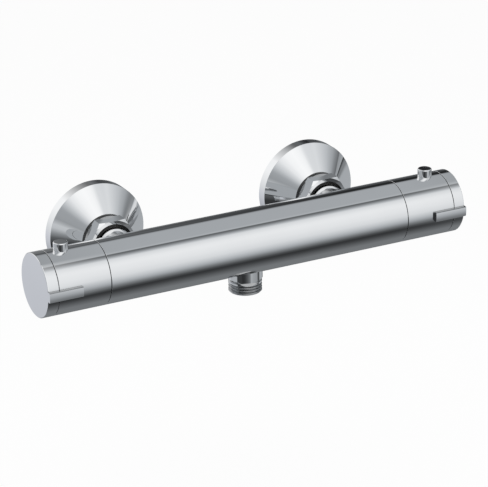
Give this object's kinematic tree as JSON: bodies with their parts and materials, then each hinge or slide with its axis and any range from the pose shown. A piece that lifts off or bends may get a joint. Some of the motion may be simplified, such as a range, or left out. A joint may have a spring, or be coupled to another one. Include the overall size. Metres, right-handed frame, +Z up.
{
  "type": "thermostatic shower valve",
  "caption": "Round exposed bar shower valve with a turning handle at each end, press-in stop buttons, wall unions behind cone-shaped plates and a threaded hose outlet below.",
  "frame": {"origin": "on the finished wall, on the middle line of the hot supply's wall thread", "axes": "+X to the right, from the hot to the cold supply; +Y into the wall; +Z up. The bar's middle line is 12 mm above and 67.5 mm in front of the origin, and the bar's middle is 75 mm to its right"},
  "size_m": [0.2876, 0.1057, 0.064],
  "materials": {
    "chrome": "mirror-polished chrome plate",
    "raw_brass": "machined brass",
    "spring_steel": "drawn stainless steel",
    "hot_washer": "red rubber washer",
    "cold_washer": "blue rubber washer",
    "seal_rubber": "black sealing rubber",
    "valve_plastic": "white moulded plastic",
    "poppet_plastic": "blue moulded plastic",
    "cage_plastic": "cream glass-filled plastic",
    "stop_plastic": "grey moulded plastic",
    "carrier_plastic": "white moulded plastic",
    "copper": "drawn copper",
    "disc_ceramic": "lapped ceramic"
  },
  "bodies": {
    "valve": {"body": "chrome", "wall_union_hot": "raw_brass", "wall_union_cold": "raw_brass", "wall_plate_hot": "chrome", "wall_plate_cold": "chrome", "union_nut_hot": "chrome", "union_nut_cold": "chrome", "nut_ring_hot": "spring_steel", "nut_ring_cold": "spring_steel", "strainer_hot": "hot_washer", "strainer_cold": "cold_washer", "check_cage_hot": "valve_plastic", "check_cage_cold": "valve_plastic", "check_spring_hot": "spring_steel", "check_spring_cold": "spring_steel", "outlet_nipple": "chrome", "outlet_gasket": "seal_rubber", "thermo_bonnet": "raw_brass", "thermo_cage": "cage_plastic", "thermo_seals": "seal_rubber", "temp_stop_ring": "stop_plastic", "return_spring": "spring_steel", "flow_headwork": "raw_brass", "flow_seals": "seal_rubber", "nose_seal": "seal_rubber", "fixed_disc": "disc_ceramic", "flow_stop_ring": "stop_plastic"},
    "temp_handle": {"temp_sleeve": "chrome", "temp_cap": "chrome", "temp_rib": "chrome", "temp_carrier": "carrier_plastic", "temp_screw": "spring_steel", "temp_spindle": "raw_brass", "temp_button_spring": "spring_steel"},
    "temp_stop": {"temp_button": "chrome"},
    "thermostat": {"shuttle": "cage_plastic", "wax_element": "copper", "plunger": "raw_brass", "overload_spring": "spring_steel", "lift_nut": "raw_brass"},
    "flow_handle": {"flow_sleeve": "chrome", "flow_cap": "chrome", "flow_rib": "chrome", "flow_carrier": "carrier_plastic", "flow_screw": "spring_steel", "flow_spindle": "raw_brass", "turning_disc": "disc_ceramic", "flow_button_spring": "spring_steel"},
    "flow_stop": {"flow_button": "chrome"},
    "hot_poppet": {"check_poppet_hot": "poppet_plastic"},
    "cold_poppet": {"check_poppet_cold": "poppet_plastic"}
  },
  "joints": [
    {"name": "temp_turn", "type": "hinge", "parent": "valve", "child": "temp_handle", "pos_m": [0.195, -0.0675, 0.012], "axis": [1, 0, 0], "range_deg": [-190, 0]},
    {"name": "temp_stop_press", "type": "slide", "parent": "temp_handle", "child": "temp_stop", "axis": [0, 0, -1], "range_m": [0, 0.0026], "stiffness_N_per_m": 600, "springref_m": -0.004, "deforming": ["temp_button_spring"]},
    {"name": "thermostat_lift", "type": "slide", "parent": "valve", "child": "thermostat", "axis": [1, 0, 0], "range_m": [-0.003, 0], "deforming": ["return_spring"]},
    {"name": "flow_turn", "type": "hinge", "parent": "valve", "child": "flow_handle", "pos_m": [-0.045, -0.0675, 0.012], "axis": [-1, 0, 0], "range_deg": [0, 45]},
    {"name": "flow_stop_press", "type": "slide", "parent": "flow_handle", "child": "flow_stop", "axis": [0, 0, -1], "range_m": [0, 0.0026], "stiffness_N_per_m": 600, "springref_m": -0.004, "deforming": ["flow_button_spring"]},
    {"name": "hot_check_open", "type": "slide", "parent": "valve", "child": "hot_poppet", "axis": [0, -1, 0], "range_m": [0, 0.0025], "stiffness_N_per_m": 100, "springref_m": -0.005, "deforming": ["check_spring_hot"]},
    {"name": "cold_check_open", "type": "slide", "parent": "valve", "child": "cold_poppet", "axis": [0, -1, 0], "range_m": [0, 0.0025], "stiffness_N_per_m": 100, "springref_m": -0.005, "deforming": ["check_spring_cold"]}
  ],
  "couplings": [
    {"joint": "thermostat_lift", "follows": "temp_turn", "m_per_rad": 0.0008754}
  ]
}
